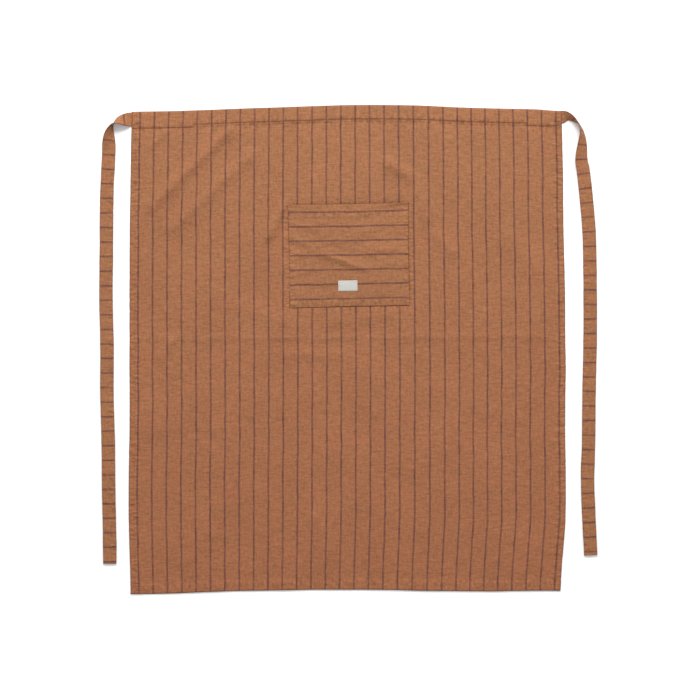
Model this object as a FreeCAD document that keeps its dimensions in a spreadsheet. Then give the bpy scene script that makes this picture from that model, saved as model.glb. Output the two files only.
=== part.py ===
import FreeCAD, Part
import os
import re

import Sketcher

# A waist apron of washed striped cotton, lying flat with its ties beside it.
# Millimetres. +X to the right as it is seen from above, +Y towards the waist edge, +Z up
# from the surface it lies on. The origin is the centre of its footprint on that surface.

SIZES = {
    "cloth": (0.6, "thickness of one layer of cotton"),
    "panel_width": (720, "panel, edge to edge at its widest"),
    "panel_height": (800, "panel, waist edge to bottom edge on the centre line"),
    "waist_bow": (10, "rise of the waist edge at its middle"),
    "bottom_bow": (8, "rise of the bottom edge at its middle"),
    "side_bow": (5, "how far each side edge stands out at its middle"),
    "side_hem": (10, "width of the turned side hems"),
    "bottom_hem": (13, "width of the turned bottom hem"),
    "hem_gap": (1, "space between the ends of two hems at a corner"),
    "tie_width": (22, "width of a tie"),
    "tie_margin": (1, "casing left above and below the tie that is sewn behind it"),
    "tie_tuck": (20, "length of tie sewn behind the corner of the panel"),
    "tie_lead": (2, "flat tie between the panel's corner and the start of its twist"),
    "neck_reach": (29, "panel corner to the neck where the tie stands on edge"),
    "neck_drop": (8, "neck below the centre line of the casing"),
    "neck_gap": (1, "space from the neck's pivot to the cloth on each side of it"),
    "tie_stand": (14, "how far out the lying tie is beyond its neck"),
    "twist_length": (42, "length in which the tie lies down again past the neck"),
    "left_tie_length": (728, "left tie, neck to end"),
    "right_tie_length": (714, "right tie, neck to end"),
    "pocket_width": (200, "pocket, side to side"),
    "pocket_height": (170, "pocket, mouth to bottom edge"),
    "pocket_drop": (163, "pocket mouth below the middle of the waist edge"),
    "pocket_turning": (10, "seam allowance turned in at the pocket's sides and bottom"),
    "pocket_hem": (20, "depth of the hem at the pocket's mouth"),
    "pocket_rise": (5.5, "how far the slack pocket stands off the panel"),
    "pocket_slope": (25, "width of cloth that climbs to that rise on each side"),
    "pocket_slack": (70, "depth of the slack, open part below the mouth"),
    "pocket_taper": (45, "length in which the slack closes below that"),
    "label_width": (33, "woven label, across"),
    "label_height": (18, "woven label, down"),
    "label_thick": (0.5, "woven label, with its folded ends"),
    "label_lift": (24, "label's lower edge above the pocket's bottom edge"),
    "thread": (0.5, "width of a run of sewing thread"),
    "thread_stand": (0.3, "height that a run of thread stands above the cloth"),
    "edge_stitch": (3, "stitching in from the pocket's, label's or tie's edge"),
    "tack_length": (5, "bar tack at each corner of the pocket's mouth"),
    "tack_width": (1.5, "width of a bar tack"),
}

doc = FreeCAD.newDocument("apron")
sheet = doc.addObject("Spreadsheet::Sheet", "Sizes")
for row, (alias, (size, meaning)) in enumerate(SIZES.items(), start=1):
    sheet.set(f"A{row}", alias)
    sheet.set(f"B{row}", str(size))
    sheet.set(f"C{row}", meaning)
    sheet.setAlias(f"B{row}", alias)
doc.recompute()

# Places that several pieces share, as expressions of the sheet's sizes.
CORNER_X = "(panel_width / 2 - side_bow)"
WAIST_MIDDLE = "((panel_height + bottom_bow) / 2)"
WAIST_CORNER = f"({WAIST_MIDDLE} - waist_bow)"
BOTTOM_CORNER = "(0 - (panel_height + bottom_bow) / 2)"
CASING = "(tie_width + 2 * tie_margin)"
CASING_LINE = f"({WAIST_CORNER} - {CASING})"
HEM_TOP = "(2 * cloth)"
PANEL_TOP = "(3 * cloth)"
POCKET_MOUTH = f"({WAIST_MIDDLE} - pocket_drop)"
POCKET_BOTTOM = f"({POCKET_MOUTH} - pocket_height)"
POCKET_BASE = "(4 * cloth)"
POCKET_TOP = "(5 * cloth)"

pieces = []


def full(expression):
    """The expression with every size written as a cell of the sheet."""
    return re.sub(r"[a-z_]+", lambda m: f"Sizes.{m[0]}" if m[0] in SIZES else m[0], str(expression))


def number(expression):
    """The expression's present value."""
    return float(sheet.evalExpression(full(expression)))


def bind(target, path, expression):
    target.setExpression(path, full(expression))


def finish(piece):
    """Adds a finished sub-part to those that are written out."""
    pieces.append(piece)
    return piece


def new_body(name):
    body = doc.addObject("PartDesign::Body", name)
    body.Label = name
    return body


def plane_of(body, role):
    return next(f for f in body.Origin.OriginFeatures if f.Role == role)


def outline(body, name, role, corners, bows=None, out="0"):
    """A closed sketch on one of the body's own planes, moved off it by `out`.

    corners are pairs of expressions; bows maps a side's number to how far its middle
    stands to the right of the way from its first corner to its second.
    """
    bows = bows or {}
    sketch = body.newObject("Sketcher::SketchObject", name)
    sketch.AttachmentSupport = [(plane_of(body, role), "")]
    sketch.MapMode = "FlatFace"
    bind(sketch, "AttachmentOffset.Base.z", out)
    points = [FreeCAD.Vector(number(x), number(y), 0) for x, y in corners]
    ends = []
    for side, start in enumerate(points):
        end = points[(side + 1) % len(points)]
        bow = number(bows.get(side, 0))
        if bow:
            along = end - start
            middle = (start + end) * 0.5 + FreeCAD.Vector(along.y, -along.x, 0).normalize() * bow
            # A sketch's arcs run anticlockwise, so one that bows inwards is drawn from its end.
            arc = Part.Arc(start, middle, end) if bow > 0 else Part.Arc(end, middle, start)
            sketch.addGeometry(arc, False)
        else:
            sketch.addGeometry(Part.LineSegment(start, end), False)
        ends.append((2, 1) if bow < 0 else (1, 2))
    for side in range(len(points)):
        after = (side + 1) % len(points)
        sketch.addConstraint(Sketcher.Constraint("Coincident", side, ends[side][1], after, ends[after][0]))
    for side, (x, y) in enumerate(corners):
        for kind, expression in (("DistanceX", x), ("DistanceY", y)):
            index = sketch.addConstraint(
                Sketcher.Constraint(kind, -1, 1, side, ends[side][0], number(expression))
            )
            bind(sketch, f"Constraints[{index}]", expression)
    for side, bow in bows.items():
        (ax, ay), (bx, by) = corners[side], corners[(side + 1) % len(points)]
        chord = f"((({bx}) - ({ax})) ^ 2 + (({by}) - ({ay})) ^ 2)"
        radius = f"({chord} / 4 + ({bow}) ^ 2) / (2 * abs({bow}))"
        index = sketch.addConstraint(Sketcher.Constraint("Radius", side, number(radius)))
        bind(sketch, f"Constraints[{index}]", radius)
    return sketch


def flat_piece(name, corners, base, thickness, bows=None):
    """A flat piece of cloth or thread, its outline drawn from above."""
    body = new_body(name)
    sketch = outline(body, f"{name}_outline", "XY_Plane", corners, bows, base)
    pad = body.newObject("PartDesign::Pad", f"{name}_pad")
    pad.Profile = sketch
    bind(pad, "Length", thickness)
    return finish(body)


def rectangle(left, bottom, right, top):
    """Four corners, anticlockwise from the lower left."""
    return [(left, bottom), (right, bottom), (right, top), (left, top)]


# The panel: one rectangle of cloth on top of the layers that its edges are turned into.
flat_piece(
    "apron_panel",
    rectangle(f"0 - {CORNER_X}", BOTTOM_CORNER, CORNER_X, WAIST_CORNER),
    HEM_TOP,
    "cloth",
    {0: "0 - bottom_bow", 1: "side_bow", 2: "waist_bow", 3: "side_bow"},
)

# The waist casing: the top edge turned to the back, between the two sewn-in tie ends.
flat_piece(
    "waist_casing",
    rectangle(f"tie_tuck - {CORNER_X}", CASING_LINE, f"{CORNER_X} - tie_tuck", WAIST_CORNER),
    "0",
    HEM_TOP,
    {0: "0 - waist_bow", 2: "waist_bow"},
)

# The bottom hem: the lower edge turned twice to the back.
flat_piece(
    "bottom_hem",
    rectangle(f"0 - {CORNER_X}", BOTTOM_CORNER, CORNER_X, f"{BOTTOM_CORNER} + bottom_hem"),
    "0",
    HEM_TOP,
    {0: "0 - bottom_bow", 2: "bottom_bow"},
)

# The waist stitching holds the casing, and the bottom stitching holds the bottom hem.
for name, line, bow in (
    ("waist_stitching", f"{CASING_LINE} + thread", "waist_bow"),
    ("bottom_hem_stitching", f"{BOTTOM_CORNER} + bottom_hem - 2 * thread", "bottom_bow"),
):
    flat_piece(
        name,
        rectangle(f"thread - {CORNER_X}", line, f"{CORNER_X} - thread", f"{line} + thread"),
        PANEL_TOP,
        "thread_stand",
        {0: f"0 - {bow}", 2: bow},
    )

# The side hems and their stitching, which stop short of the casing and the bottom hem.
for hand, sign in (("left", "-1"), ("right", "1")):
    low = f"{BOTTOM_CORNER} + bottom_hem + hem_gap"
    high = f"{CASING_LINE} - hem_gap"
    for name, outer, inner, base, thickness in (
        (f"{hand}_side_hem", CORNER_X, f"({CORNER_X} - side_hem)", "0", HEM_TOP),
        (
            f"{hand}_hem_stitching",
            f"({CORNER_X} - side_hem + 2 * thread)",
            f"({CORNER_X} - side_hem + thread)",
            PANEL_TOP,
            "thread_stand",
        ),
    ):
        across = (outer, inner) if hand == "left" else (inner, outer)
        leftmost, rightmost = (f"{sign} * {x}" for x in across)
        bow = "side_bow" if hand == "right" else "0 - side_bow"
        flat_piece(
            name,
            rectangle(leftmost, low, rightmost, high),
            base,
            thickness,
            {1: bow, 3: f"0 - ({bow})"},
        )


def arch(under, thickness, half, rise="pocket_rise"):
    """The pocket's cross-section: cloth that climbs from both seams to a level middle.

    under is the height of its underside at the seams, half its half width there.
    """
    foot = "(pocket_width / 2 - pocket_turning)"
    crest = f"({foot} - pocket_slope)"
    lower = [(f"0 - {half}", under), (f"0 - {foot}", under), (f"0 - {crest}", f"{under} + {rise}")]
    lower += [(crest, f"{under} + {rise}"), (foot, under), (half, under)]
    if half == foot:
        lower = lower[1:-1]
    return lower + [(x, f"{z} + {thickness}") for x, z in reversed(lower)]


def arched_piece(name, mouth_side, depth, under, thickness, half):
    """Cloth or thread that follows the slack pocket's arch for a depth down from a line."""
    body = new_body(name)
    section = arch(under, thickness, half)
    sketch = outline(body, f"{name}_section", "XZ_Plane", section, out=f"0 - ({mouth_side})")
    pad = body.newObject("PartDesign::Pad", f"{name}_pad")
    pad.Profile = sketch
    bind(pad, "Length", depth)
    return finish(body)


# The pocket: open and slack below its mouth, closing to lie flat on its turnings.
def pocket_panel():
    body = new_body("pocket_panel")
    half = "(pocket_width / 2)"
    stations = (
        ("mouth", POCKET_MOUTH, "pocket_rise"),
        ("slack", f"{POCKET_MOUTH} - pocket_slack", "pocket_rise"),
        ("closed", f"{POCKET_MOUTH} - pocket_slack - pocket_taper", "0"),
        ("bottom", POCKET_BOTTOM, "0"),
    )
    sections = [
        outline(body, f"pocket_{name}", "XZ_Plane", arch(POCKET_BASE, "cloth", half, rise), out=f"0 - ({y})")
        for name, y, rise in stations
    ]
    loft = body.newObject("PartDesign::AdditiveLoft", "pocket_loft")
    loft.Profile = sections[0]
    loft.Sections = sections[1:]
    loft.Ruled = True
    return finish(body)


pocket_panel()
arched_piece(
    "pocket_mouth_hem",
    POCKET_MOUTH,
    "pocket_hem",
    PANEL_TOP,
    "cloth",
    "(pocket_width / 2 - pocket_turning)",
)
arched_piece(
    "pocket_mouth_stitching",
    f"{POCKET_MOUTH} - pocket_hem + 2 * thread",
    "thread",
    POCKET_TOP,
    "thread_stand",
    "(pocket_width / 2 - edge_stitch - 2 * thread)",
)

# The pocket's turnings, folded in between its cloth and the panel.
for hand, left, right in (
    ("left", "0 - pocket_width / 2", "pocket_turning - pocket_width / 2"),
    ("right", "pocket_width / 2 - pocket_turning", "pocket_width / 2"),
):
    flat_piece(
        f"pocket_{hand}_turning",
        rectangle(left, POCKET_BOTTOM, right, POCKET_MOUTH),
        PANEL_TOP,
        "cloth",
    )
flat_piece(
    "pocket_bottom_turning",
    rectangle(
        "pocket_turning - pocket_width / 2",
        POCKET_BOTTOM,
        "pocket_width / 2 - pocket_turning",
        f"{POCKET_BOTTOM} + pocket_turning",
    ),
    PANEL_TOP,
    "cloth",
)

# The pocket's stitching: one run down a side, along the bottom and up the other side.
OUTER = "(pocket_width / 2 - edge_stitch)"
INNER = f"({OUTER} - thread)"
LOWEST = f"({POCKET_BOTTOM} + edge_stitch)"
flat_piece(
    "pocket_stitching",
    [
        (f"0 - {OUTER}", LOWEST),
        (OUTER, LOWEST),
        (OUTER, POCKET_MOUTH),
        (INNER, POCKET_MOUTH),
        (INNER, f"{LOWEST} + thread"),
        (f"0 - {INNER}", f"{LOWEST} + thread"),
        (f"0 - {INNER}", POCKET_MOUTH),
        (f"0 - {OUTER}", POCKET_MOUTH),
    ],
    POCKET_TOP,
    "thread_stand",
)


def thread_group(name, boxes):
    """Short separate runs of thread that make one sub-part: corner, width, length, base."""
    group = doc.addObject("Part::Compound", name)
    group.Label = name
    links = []
    for index, (left, bottom, base, width, length) in enumerate(boxes):
        box = doc.addObject("Part::Box", f"{name}_{index + 1}")
        bind(box, "Placement.Base.x", left)
        bind(box, "Placement.Base.y", bottom)
        bind(box, "Placement.Base.z", base)
        bind(box, "Length", width)
        bind(box, "Width", length)
        bind(box, "Height", "thread_stand")
        links.append(box)
    group.Links = links
    return finish(group)


# Bar tacks at the pocket's mouth, just inside its stitching.
thread_group(
    "pocket_bar_tacks",
    [
        (left, f"{POCKET_MOUTH} - edge_stitch", POCKET_TOP, "tack_length", "tack_width")
        for left in (f"thread - {INNER}", f"{INNER} - thread - tack_length")
    ],
)

# The woven label, held by a run of thread at each end.
LABEL_LOW = f"({POCKET_BOTTOM} + label_lift)"
flat_piece(
    "woven_label",
    rectangle("0 - label_width / 2", LABEL_LOW, "label_width / 2", f"{LABEL_LOW} + label_height"),
    POCKET_TOP,
    "label_thick",
)
thread_group(
    "label_stitching",
    [
        (left, f"{LABEL_LOW} + thread", f"{POCKET_TOP} + label_thick", "thread", "label_height - 2 * thread")
        for left in ("2 * thread - label_width / 2", "label_width / 2 - 3 * thread")
    ],
)


def strip_section(centre, lie, turn):
    """A tie's cross-section, turned about its length and resting on the surface.

    centre is the middle of the section, lie the side (-1 or 1) that its low edge is on.
    """
    across, along = f"cos({turn} deg)", f"sin({turn} deg)"
    height = f"(tie_width / 2 * {along} + {HEM_TOP} / 2 * abs({across}))"
    corners = []
    for wide, thick in ((-1, -1), (1, -1), (1, 1), (-1, 1)):
        reach = f"{wide} * tie_width / 2 * {across} - {thick} * {HEM_TOP} / 2 * {along}"
        rise = f"{wide} * tie_width / 2 * {along} + {thick} * {HEM_TOP} / 2 * {across}"
        corners.append((f"{centre} + {lie} * ({reach})", f"{height} + {rise}"))
    return corners


def twisted_strip(name, role, stations):
    """A tie's cloth, lofted through its sections; a station is (place, centre, lie, turn)."""
    body = new_body(name)
    sections = [
        outline(body, f"{name}_{index}", role, strip_section(centre, lie, turn), out=place)
        for index, (place, centre, lie, turn) in enumerate(stations)
    ]
    loft = body.newObject("PartDesign::AdditiveLoft", f"{name}_loft")
    loft.Profile = sections[0]
    loft.Sections = sections[1:]
    loft.Ruled = True
    return finish(body)


# The ties: a root sewn behind the corner that turns up on edge at the neck, and the
# free length, which turns over past the neck and lies down beside the panel.
ROOT_Y = f"({WAIST_CORNER} - {CASING} / 2)"
NECK_X = f"({CORNER_X} + neck_reach)"
NECK_Y = f"({ROOT_Y} - neck_drop)"
LIE_X = f"({NECK_X} + tie_stand)"
TWIST_START = f"({CORNER_X} + tie_lead)"
TWIST_RUN = f"({NECK_X} - neck_gap - {TWIST_START})"
# The stitching that anchors a tie starts above the bowed run that closes the casing.
TUCK_BOW = f"waist_bow * (1 - (({CORNER_X} - tie_tuck) / {CORNER_X}) ^ 2)"
ANCHOR_LOW = f"({CASING_LINE} + {TUCK_BOW} + 3 * thread)"
for hand, side in (("left", -1), ("right", 1)):
    twisted_strip(
        f"{hand}_tie_root",
        "YZ_Plane",
        [(f"{side} * ({CORNER_X} - tie_tuck)", ROOT_Y, 1, 0)]
        + [
            (
                f"{side} * ({TWIST_START} + {part} * {TWIST_RUN})",
                f"{ROOT_Y} - {part} ^ 2 * neck_drop",
                1,
                90 * part,
            )
            for part in (0, 0.25, 0.5, 0.75, 1)
        ],
    )
    lying = f"{side} * {LIE_X}"
    end = f"({NECK_Y} - {hand}_tie_length)"
    twisted_strip(
        f"{hand}_tie",
        "XZ_Plane",
        [
            (
                f"0 - ({NECK_Y} - neck_gap - {part} * twist_length)",
                f"{side} * ({NECK_X} + {part} * tie_stand)",
                side,
                90 + 90 * part,
            )
            for part in (0, 0.25, 0.5, 0.75, 1)
        ]
        + [(f"0 - {end}", lying, side, 180)],
    )
    flat_piece(
        f"{hand}_tie_stitching",
        rectangle(
            f"{lying} + tie_width / 2 - edge_stitch - thread",
            f"{end} + edge_stitch",
            f"{lying} + tie_width / 2 - edge_stitch",
            f"{NECK_Y} - neck_gap - twist_length - thread",
        ),
        HEM_TOP,
        "thread_stand",
    )
    thread_group(
        f"{hand}_tie_anchor_stitching",
        [
            (left, ANCHOR_LOW, PANEL_TOP, "thread", f"{WAIST_CORNER} - 3 * thread - {ANCHOR_LOW}")
            for left in (
                f"{side} * ({CORNER_X} - side_hem / 2) - thread / 2",
                f"{side} * ({CORNER_X} - tie_tuck + side_hem / 2) - thread / 2",
            )
        ],
    )

doc.recompute()

for member in doc.Objects:
    if {"Invalid", "Error"} & set(member.State):
        raise RuntimeError(f"{member.Name} failed: {member.State}")
for piece in pieces:
    if piece.Shape.isNull() or not piece.Shape.isValid() or not piece.Shape.Solids:
        raise RuntimeError(f"{piece.Label} has no valid solid")

os.makedirs("parts", exist_ok=True)
for piece in pieces:
    piece.Shape.exportStep(f"parts/{piece.Label}.step")
    box = piece.Shape.BoundBox
    print(
        f"{piece.Label:28s} solids {len(piece.Shape.Solids)}  volume {piece.Shape.Volume:10.1f}"
        f"  x {box.XMin:8.2f} {box.XMax:8.2f}  y {box.YMin:8.2f} {box.YMax:8.2f}"
        f"  z {box.ZMin:6.2f} {box.ZMax:6.2f}"
    )
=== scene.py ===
import math

import bmesh
import bpy
import numpy
from mathutils import Matrix, Vector, noise


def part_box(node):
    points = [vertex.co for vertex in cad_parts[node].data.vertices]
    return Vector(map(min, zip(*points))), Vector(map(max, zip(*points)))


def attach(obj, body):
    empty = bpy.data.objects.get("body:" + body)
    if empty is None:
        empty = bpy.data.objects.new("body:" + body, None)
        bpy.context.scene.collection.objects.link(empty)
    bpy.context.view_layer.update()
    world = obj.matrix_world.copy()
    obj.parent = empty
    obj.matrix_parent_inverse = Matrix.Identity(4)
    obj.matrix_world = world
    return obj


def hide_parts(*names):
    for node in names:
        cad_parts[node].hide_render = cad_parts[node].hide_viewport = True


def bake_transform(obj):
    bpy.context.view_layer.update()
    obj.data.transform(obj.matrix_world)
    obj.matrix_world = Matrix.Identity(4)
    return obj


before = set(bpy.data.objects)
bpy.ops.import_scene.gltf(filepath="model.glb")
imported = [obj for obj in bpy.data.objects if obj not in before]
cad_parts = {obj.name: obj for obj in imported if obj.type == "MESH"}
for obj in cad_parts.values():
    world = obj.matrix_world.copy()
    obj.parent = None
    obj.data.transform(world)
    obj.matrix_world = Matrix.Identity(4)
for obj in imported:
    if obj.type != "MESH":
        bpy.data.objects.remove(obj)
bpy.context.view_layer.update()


# ---------------------------------------------------------------------------------------
# Apron panel. One rectangle of yarn-dyed striped cotton, washed soft after sewing, so it
# lies with slack ripples, pressed fold lines and puckers beside every seam. Its edges rise
# over the layers that are turned under them.
# ---------------------------------------------------------------------------------------
CLOTH = 0.0006
STRIPE_PITCH = 0.0240
FIRST_STRIPE_X = -0.3460
PANEL_LOW, PANEL_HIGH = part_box("apron_panel")
HALF_WIDTH = PANEL_HIGH[0]
HALF_LENGTH = (PANEL_HIGH[1] - PANEL_LOW[1]) / 2 - 0.004

# The washed outline, in millimetres: x of each side edge at heights y, and the height of
# the waist and bottom edges at places x.
SIDE_YS = [-404, -368, -328, -288, -249, -189, -136, -83, -30, 16, 88, 148, 208, 287, 356, 396]
LEFT_XS = [
    -358.2, -358.6, -359.9, -361, -361.2, -360.8, -359.7, -359.4,
    -359.9, -359.5, -359.9, -359.5, -359.2, -357.9, -356.9, -355.6,
]
RIGHT_XS = [
    351.6, 353.3, 356.6, 359.9, 360.7, 360.4, 359.5, 359.7,
    360.7, 359.7, 359.5, 358.1, 356.6, 356.1, 354.6, 353.8,
]
EDGE_XS = [-360, -326, -291, -232, -172, -113, -53, 0, 46, 86, 125, 185, 245, 284, 324, 344, 360]
WAIST_YS = [
    392.6, 393.2, 393.7, 395.8, 398.2, 400, 402.2, 403.8, 404,
    403.7, 403, 400, 398.2, 397.5, 396.6, 394.4, 393.8,
]
BOTTOM_YS = [
    -404, -403.7, -403, -400.4, -398.5, -397.8, -396.5, -396.5, -396.6,
    -397, -398.5, -398.9, -399.5, -398.6, -398.2, -398.2, -398.6,
]
LINE_REACH, LINE_STEP = 0.45, 0.005

# The depth of each turned edge, and how far in from its inner fold the seam runs.
CASING, SIDE_HEM, BOTTOM_HEM = 0.0245, 0.010, 0.013
SEAM_IN = 0.0015
CLOSED_CASING = (-0.256, 0.299)
PUCKER_REACH, GROOVE, ROLLED_EDGE, SLOPE = 0.014, 0.0026, 0.0019, 0.004

# The pocket's place, and the distance given to cloth that has no seam near it.
POCKET_LOW, POCKET_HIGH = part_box("pocket_panel")
POCKET_HALF = (POCKET_HIGH[0] - POCKET_LOW[0]) / 2
POCKET_TALL = POCKET_HIGH[1] - POCKET_LOW[1]
POCKET_CENTRE = Vector((0.0025, (POCKET_HIGH[1] + POCKET_LOW[1]) / 2))
POCKET_TILT = math.radians(1.0)
FAR = 0.03

# Creases: from, to, height, half width. A fold line that was pressed is narrow and long,
# and a slack ripple is wide and soft.
PRESSED = [
    ((-0.358, 0.018), (0.362, 0.021), 0.0011, 0.0045),
    ((-0.133, 0.395), (-0.135, -0.395), 0.0009, 0.0040),
    ((-0.358, -0.132), (-0.080, -0.130), 0.0006, 0.0050),
]
RIPPLES = [
    ((-0.335, 0.225), (-0.185, 0.372), 0.0060, 0.0086),
    ((-0.300, 0.190), (-0.150, 0.330), 0.0045, 0.0101),
    ((-0.330, 0.330), (-0.295, 0.365), 0.0045, 0.0039),
    ((-0.136, 0.175), (-0.100, 0.245), 0.0065, 0.0062),
    ((0.055, 0.315), (0.115, 0.280), 0.0052, 0.0078),
    ((0.115, 0.280), (0.135, 0.200), 0.0052, 0.0086),
    ((0.135, 0.200), (0.180, 0.150), 0.0036, 0.0094),
    ((-0.318, -0.020), (-0.285, 0.020), 0.0026, 0.0070),
    ((-0.110, -0.008), (0.010, -0.010), 0.0020, 0.0090),
    ((0.220, 0.008), (0.255, -0.045), 0.0020, 0.0080),
    ((-0.235, -0.305), (-0.205, -0.308), 0.0020, 0.0060),
    ((-0.285, -0.350), (-0.255, -0.345), 0.0020, 0.0070),
    ((0.060, -0.180), (0.190, -0.250), 0.0015, 0.0160),
    ((0.250, 0.200), (0.330, 0.120), 0.0020, 0.0160),
    ((-0.060, -0.260), (-0.020, -0.360), 0.0015, 0.0150),
    ((0.230, -0.300), (0.330, -0.330), 0.0016, 0.0140),
    ((-0.330, -0.150), (-0.250, -0.060), 0.0014, 0.0140),
    ((-0.200, 0.080), (-0.060, 0.030), 0.0014, 0.0140),
    ((-0.050, 0.040), (0.080, 0.058), 0.0014, 0.0100),
    ((0.120, -0.060), (0.300, -0.120), 0.0011, 0.0160),
]
CREASES = PRESSED + RIPPLES


def smooth(value):
    """0 below 0, 1 above 1, and a smooth step between."""
    value = min(max(value, 0.0), 1.0)
    return value * value * (3 - 2 * value)


def ripple(point, start, end, height, half_width):
    """Height of one crease at a point: a soft tent along a line, fading at its ends."""
    ax, ay = start
    dx, dy = end[0] - ax, end[1] - ay
    length = math.hypot(dx, dy)
    along = ((point.x - ax) * dx + (point.y - ay) * dy) / length
    off = abs((point.x - ax) * dy - (point.y - ay) * dx) / length
    if off > 4 * half_width:
        return 0.0
    reach = min(0.35 * length, 0.03)
    fade = smooth((along + 0.3 * reach) / reach) * smooth((length + 0.3 * reach - along) / reach)
    return height * fade * math.exp(-((off / half_width) ** 1.6))


def edge_line(places, values):
    """A rounded line through the values, in metres, with one number for each LINE_STEP."""
    spots = numpy.arange(-450, 451, 5.0)
    line = numpy.pad(numpy.interp(spots, places, values), 2, "edge")
    line = numpy.convolve(line, numpy.ones(5) / 5, "valid")
    return [float(value) / 1000 for value in line]


LEFT_EDGE, RIGHT_EDGE = edge_line(SIDE_YS, LEFT_XS), edge_line(SIDE_YS, RIGHT_XS)
WAIST_EDGE, BOTTOM_EDGE = edge_line(EDGE_XS, WAIST_YS), edge_line(EDGE_XS, BOTTOM_YS)


def read_line(line, place):
    """The line's value at a place between -LINE_REACH and LINE_REACH."""
    steps = (place + LINE_REACH) / LINE_STEP
    index = int(steps)
    return line[index] + (line[index + 1] - line[index]) * (steps - index)


def panel_place(across, down):
    """Where a flat cloth point (from -1 to 1 each way) lies on the panel, seen from above."""
    top, low = (read_line(edge, across * HALF_WIDTH) for edge in (WAIST_EDGE, BOTTOM_EDGE))
    y = low + (top - low) * (down + 1) / 2
    left, right = (read_line(edge, y) for edge in (LEFT_EDGE, RIGHT_EDGE))
    return Vector((left + (right - left) * (across + 1) / 2, y))


def edge_distances(point):
    """Distances in from the nearer side edge, the waist edge and the bottom edge."""
    side = min(point.x - read_line(LEFT_EDGE, point.y), read_line(RIGHT_EDGE, point.y) - point.x)
    return side, read_line(WAIST_EDGE, point.x) - point.y, point.y - read_line(BOTTOM_EDGE, point.x)


def pocket_local(point):
    """The point in the pocket's own axes, from the pocket's middle."""
    off = Vector(point[:2]) - POCKET_CENTRE
    turn = Matrix.Rotation(-POCKET_TILT, 2)
    return turn @ off


def near(distance, reach):
    """1 on a line, falling to 0 at the reach on each side of it."""
    return smooth(1 - abs(distance) / reach)


def nearest(*distances):
    return min(distances, key=abs)


def pocket_offset(point):
    """Distances out from the pocket's side edges and from its bottom edge, from its axes."""
    local = pocket_local(point)
    aside, below = abs(local.x) - POCKET_HALF, -local.y - POCKET_TALL / 2
    beside = max(aside, 0.0) if abs(local.y) < POCKET_TALL / 2 else FAR
    under = max(below, 0.0) if abs(local.x) < POCKET_HALF and local.y < 0 else FAR
    return beside, under


def panel_seams(point, edges, offset):
    """Distances to the nearest seam that runs across, one that runs down, and an edge.

    Near each corner the casing closes over a tie and is sewn along its folded edge. Between
    the corners it is sewn higher up, and its folded edge shows as a faint groove with a faint
    line of painted shade. The cloth's material paints shade along all three kinds of line.
    """
    (side, top, low), (beside, under) = edges, offset
    middle = CLOSED_CASING[0] < point.x < CLOSED_CASING[1]
    casing_seam = top - CASING + SEAM_IN if middle else FAR
    fold_drop = 0.0028 if point.x < 0 else min(0.0026, 0.0445 - 0.13 * point.x)
    casing_fold = top - CASING - fold_drop
    casing_fold *= 0.6 if casing_fold > 0 else 1.0
    casing_fold = abs(casing_fold) + (0.0012 if middle else 0.0004)
    across = nearest(casing_seam, casing_fold, abs(low - BOTTOM_HEM + SEAM_IN) + 0.0009, under)
    return across, nearest(side - SIDE_HEM + SEAM_IN, beside), min(edges)


def furrow(across, along):
    """Puckers: 0 on flat cloth and down to -1 in narrow furrows about 6 mm apart."""
    wander = noise.noise(Vector((across, along, 3.0)))
    swell = noise.noise(Vector((across, along * 0.8, 11.0)))
    return max(1 - 5.0 * abs(wander), 0.0) * -0.7 + 0.6 * swell


def panel_height(point):
    """Height of the middle of the panel's cloth above the surface."""
    edges, offset = edge_distances(point), pocket_offset(point)
    side, top, low = edges
    lift = max(smooth((SIDE_HEM + SLOPE - side) / SLOPE), smooth((CASING + SLOPE - top) / SLOPE))
    lift = max(lift, smooth((BOTTOM_HEM + SLOPE - low) / SLOPE))
    slack = 0.0010 * (1 + noise.noise(Vector((point.x * 8, point.y * 8, 1.7))))
    slack += 0.0009 * (1 + noise.noise(Vector((point.x * 24, point.y * 20, 6.1))))
    slack += 0.00045 * noise.noise(Vector((point.x * 70, point.y * 60, 2.4)))
    for crease in CREASES:
        slack += ripple(point, *crease)
    border = min(edges)
    slack *= 0.35 + 0.65 * smooth(border / 0.05)
    local = pocket_local(point)
    under = smooth((POCKET_HALF + 0.012 - abs(local.x)) / 0.02)
    under *= smooth((POCKET_TALL / 2 + 0.012 - abs(local.y)) / 0.02)
    slack *= 1 - 0.75 * under
    seam_across, seam_down, _ = panel_seams(point, edges, offset)
    bunched = 0.0
    if abs(seam_across) < PUCKER_REACH:
        bunched += 2.1 * near(seam_across, PUCKER_REACH) * furrow(point.x * 125, point.y * 40)
    if seam_down < PUCKER_REACH:
        gathered = 1.2 + 1.1 * smooth(-seam_down / 0.003)
        if local.x < 0 and offset[0] < 0.012:
            gathered += 1.8 * smooth((0.03 - local.y) / 0.04)
        close = smooth((PUCKER_REACH - seam_down) / 0.012)
        bunched += gathered * close * furrow(point.y * 125, point.x * 40)
    groove = max(near(seam_across, GROOVE), 0.5 * near(seam_down, GROOVE))
    corner = near(math.hypot(abs(point.x) - 0.345, point.y - 0.382), 0.022)
    slack += 0.0011 * smooth(offset[0] / 0.0012) * smooth((0.0075 - offset[0]) / 0.005)
    rolled = smooth(1 - border / ROLLED_EDGE)
    height = 0.0005 + 2 * CLOTH * lift + slack + 0.0009 * corner + 0.00055 * bunched
    return max(height - 0.0004 * groove - 0.0009 * rolled, 0.00032)


def new_grid(columns, rows, width, length):
    """A flat grid of cloth centred on the origin, with layers for its pattern and seams."""
    mesh = bmesh.new()
    mesh.verts.layers.float_vector.new("pattern")
    seam = mesh.verts.layers.float_vector.new("seam")
    scale = Matrix.Diagonal((width, length, 1, 1))
    bmesh.ops.create_grid(mesh, x_segments=columns, y_segments=rows, size=0.5, matrix=scale)
    for vert in mesh.verts:
        vert[seam] = (FAR, FAR, FAR)
    return mesh


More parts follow.
